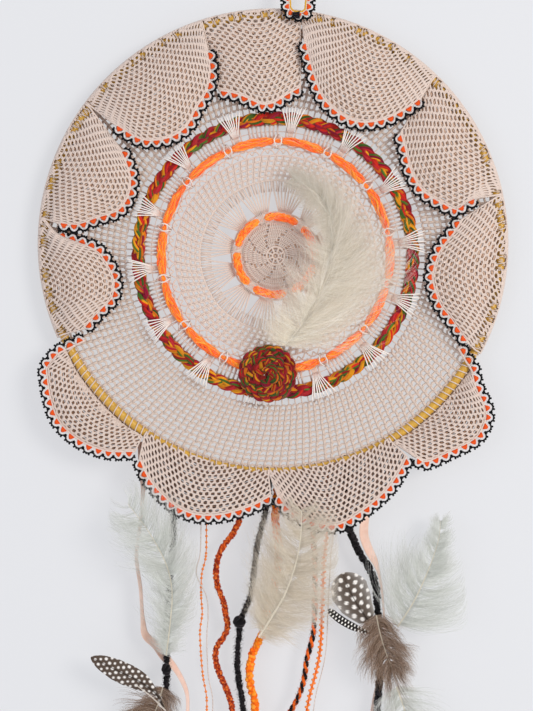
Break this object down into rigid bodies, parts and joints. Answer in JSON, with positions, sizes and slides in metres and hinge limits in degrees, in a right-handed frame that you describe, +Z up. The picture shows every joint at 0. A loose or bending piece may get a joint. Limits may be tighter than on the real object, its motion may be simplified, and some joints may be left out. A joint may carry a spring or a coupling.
{
  "type": "dream catcher",
  "caption": "Round crocheted doily stretched in a ribbon-wrapped hoop, with folded picot-edged lobes, a hanging loop, and swinging strands of yarn, ribbon and feathers.",
  "frame": {"origin": "the point where the hanging loop rests on its nail", "axes": "+Z up, front of the doily towards -Y, +X to the viewer's right"},
  "size_m": [0.3034, 0.0245, 0.6176],
  "materials": {
    "ring_steel": "bare steel ring",
    "satin_mustard": "satin ribbon, wound",
    "crochet_lace": "matt mercerised cotton crochet",
    "roving_orange": "soft unspun wool",
    "plait_variegated": "variegated wool plait",
    "picot_edging": "cotton crochet in orange, white and black",
    "satin_peach": "satin ribbon",
    "yarn_black": "fuzzy black wool",
    "cord_rust": "two-tone crochet cord",
    "cotton_orange": "cotton cord",
    "string_pale": "thin cotton string",
    "feather_cream": "natural marabou",
    "feather_brown": "natural down",
    "feather_guinea": "spotted guinea fowl"
  },
  "bodies": {
    "hanging_loop": {"hanging_loop": "picot_edging"},
    "hoop": {"hoop_core": "ring_steel", "hoop_wrap": "satin_mustard", "doily_web": "crochet_lace", "orange_ring_inner": "roving_orange", "orange_ring_outer": "roving_orange", "braid_ring": "plait_variegated", "rosette": "plait_variegated", "lobe_a": "crochet_lace", "lobe_b": "crochet_lace", "lobe_c": "crochet_lace", "lobe_d": "crochet_lace", "lobe_e": "crochet_lace", "lobe_f": "crochet_lace", "lobe_g": "crochet_lace", "lobe_h": "crochet_lace", "lobe_i": "crochet_lace", "lobe_j": "crochet_lace", "lobe_k": "crochet_lace", "edging_a": "picot_edging", "edging_b": "picot_edging", "edging_c": "picot_edging", "edging_d": "picot_edging", "edging_e": "picot_edging", "edging_f": "picot_edging", "edging_g": "picot_edging", "edging_h": "picot_edging", "edging_i": "picot_edging", "edging_j": "picot_edging", "edging_k": "picot_edging", "feather_centre": "feather_cream"},
    "tassel_left": {"ribbon_left": "satin_peach", "yarn_black_left": "yarn_black", "binding_left": "yarn_black", "feather_white_left": "feather_cream", "feather_guinea_left": "feather_guinea", "feather_brown_left": "feather_brown"},
    "strings_left": {"string_bobble": "cotton_orange", "string_pale_left": "string_pale"},
    "rust_cord": {"cord_rust": "cord_rust", "knot_rust": "cord_rust"},
    "tassel_mid": {"yarn_black_mid": "yarn_black", "knot_black_mid": "yarn_black", "yarn_orange": "roving_orange", "feather_cream_mid": "feather_cream", "cord_twisted": "yarn_black", "knot_twisted": "yarn_black", "cord_picot": "cotton_orange", "knot_picot": "cotton_orange", "string_pale_right": "string_pale"},
    "tassel_right": {"yarn_black_right": "yarn_black", "ribbon_right": "satin_peach", "feather_guinea_right": "feather_guinea", "feather_barred_right": "feather_guinea", "feather_brown_right": "feather_brown", "feather_white_right": "feather_cream", "feather_white_low": "feather_cream"}
  },
  "joints": [
    {"name": "hoop_tip", "type": "hinge", "parent": "hanging_loop", "child": "hoop", "pos_m": [0, 0.002, -0.0592], "axis": [-1, 0, 0], "range_deg": [0, 20]},
    {"name": "tassel_left_swing", "type": "hinge", "parent": "hoop", "child": "tassel_left", "pos_m": [-0.09, 0, -0.33702], "axis": [-1, 0, 0], "range_deg": [0, 12]},
    {"name": "strings_left_swing", "type": "hinge", "parent": "hoop", "child": "strings_left", "pos_m": [-0.0605, 0, -0.3501], "axis": [-1, 0, 0], "range_deg": [0, 12]},
    {"name": "rust_cord_swing", "type": "hinge", "parent": "hoop", "child": "rust_cord", "pos_m": [-0.037, 0, -0.35549], "axis": [-1, 0, 0], "range_deg": [0, 12]},
    {"name": "tassel_mid_swing", "type": "hinge", "parent": "hoop", "child": "tassel_mid", "pos_m": [-0.001, 0, -0.35623], "axis": [-1, 0, 0], "range_deg": [0, 12]},
    {"name": "tassel_right_swing", "type": "hinge", "parent": "hoop", "child": "tassel_right", "pos_m": [0.04, 0, -0.34592], "axis": [-1, 0, 0], "range_deg": [0, 12]}
  ]
}
